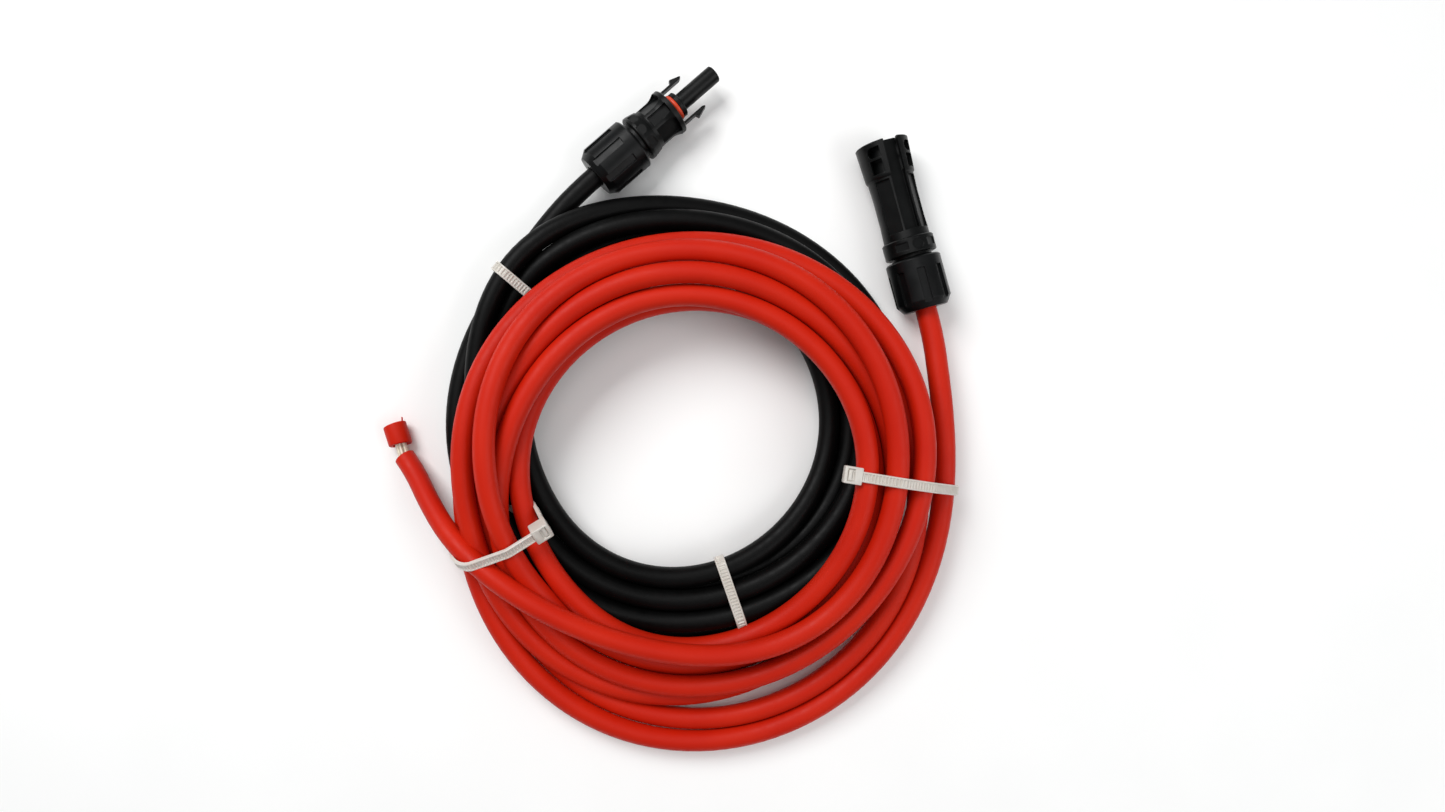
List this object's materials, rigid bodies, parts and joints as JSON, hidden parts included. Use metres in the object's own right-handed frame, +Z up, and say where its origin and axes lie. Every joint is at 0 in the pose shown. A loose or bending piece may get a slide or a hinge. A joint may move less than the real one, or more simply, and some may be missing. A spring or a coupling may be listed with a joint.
{
  "type": "solar cable connector",
  "caption": "Mating round solar cable connectors, probe and sleeve, each with a cable nut, on tied coiled leads",
  "frame": {"origin": "on the table, below the middle of the box round the two connectors", "axes": "+Z up; +X to the right and +Y away as seen from above, with the coils towards -Y"},
  "size_m": [0.1953, 0.2377, 0.0378],
  "materials": {
    "moulded_black": "satin moulded",
    "moulded_black_nut": "satin moulded",
    "clamp_grey": "moulded",
    "seal_rubber": "matte",
    "spring_steel": "bright",
    "black_sheath": "satin extruded",
    "red_sheath": "satin extruded",
    "tinned_copper": "bright tinned",
    "orange_rubber": "satin",
    "plated_contact": "tin plated",
    "tie_nylon": "translucent natural nylon"
  },
  "bodies": {
    "root": {"probe_housing": "moulded_black", "probe_seal": "seal_rubber", "probe_clip": "spring_steel", "probe_cable_end": "black_sheath", "probe_conductor": "tinned_copper", "o_ring": "orange_rubber", "socket_contact": "plated_contact", "contact_spring": "plated_contact", "sleeve_housing": "moulded_black", "sleeve_seal": "seal_rubber", "sleeve_clip": "spring_steel", "sleeve_cable_end": "red_sheath", "sleeve_conductor": "tinned_copper", "pin_contact": "plated_contact", "black_lead": "black_sheath", "black_coil": "black_sheath", "red_lead": "red_sheath", "red_coil": "red_sheath", "red_tail": "red_sheath", "red_wires": "tinned_copper", "tie_black_upper": "tie_nylon", "tie_black_lower": "tie_nylon", "tie_red_left": "tie_nylon", "tie_red_right": "tie_nylon"},
    "probe_clamp_body": {"probe_clamp": "clamp_grey"},
    "probe_nut_body": {"probe_nut": "moulded_black_nut"},
    "sleeve_clamp_body": {"sleeve_clamp": "clamp_grey"},
    "sleeve_nut_body": {"sleeve_nut": "moulded_black_nut"},
    "latch_left_body": {"latch_finger_left": "moulded_black"},
    "latch_right_body": {"latch_finger_right": "moulded_black"},
    "slug_body": {"red_slug": "red_sheath"}
  },
  "joints": [
    {"name": "probe_nut_travel", "type": "slide", "parent": "root", "child": "probe_clamp_body", "axis": [-0.7547, -0.6561, 0], "range_m": [0, 0.003]},
    {"name": "probe_nut_turn", "type": "hinge", "parent": "probe_clamp_body", "child": "probe_nut_body", "pos_m": [-0.05192, 0.01015, 0.0092], "axis": [-0.7547, -0.6561, 0], "range_deg": [0, 720]},
    {"name": "sleeve_nut_travel", "type": "slide", "parent": "root", "child": "sleeve_clamp_body", "axis": [0.2622, -0.965, 0], "range_m": [0, 0.003]},
    {"name": "sleeve_nut_turn", "type": "hinge", "parent": "sleeve_clamp_body", "child": "sleeve_nut_body", "pos_m": [0.05254, -0.03248, 0.0092], "axis": [0.2622, -0.965, 0], "range_deg": [0, 720]},
    {"name": "latch_left_flex", "type": "hinge", "parent": "root", "child": "latch_left_body", "pos_m": [-0.03677, 0.03174, 0.0092], "axis": [0, 0, -1], "range_deg": [0, 8], "stiffness_Nm_per_rad": 0.4},
    {"name": "latch_right_flex", "type": "hinge", "parent": "root", "child": "latch_right_body", "pos_m": [-0.02843, 0.02215, 0.0092], "axis": [0, 0, 1], "range_deg": [0, 8], "stiffness_Nm_per_rad": 0.4},
    {"name": "slug_pull", "type": "slide", "parent": "root", "child": "slug_body", "axis": [-0.304, 0.9527, 0], "range_m": [0, 0.008]}
  ],
  "couplings": [
    {"joint": "probe_nut_turn", "follows": "probe_nut_travel", "rad_per_m": 4188.8},
    {"joint": "sleeve_nut_turn", "follows": "sleeve_nut_travel", "rad_per_m": 4188.8}
  ]
}
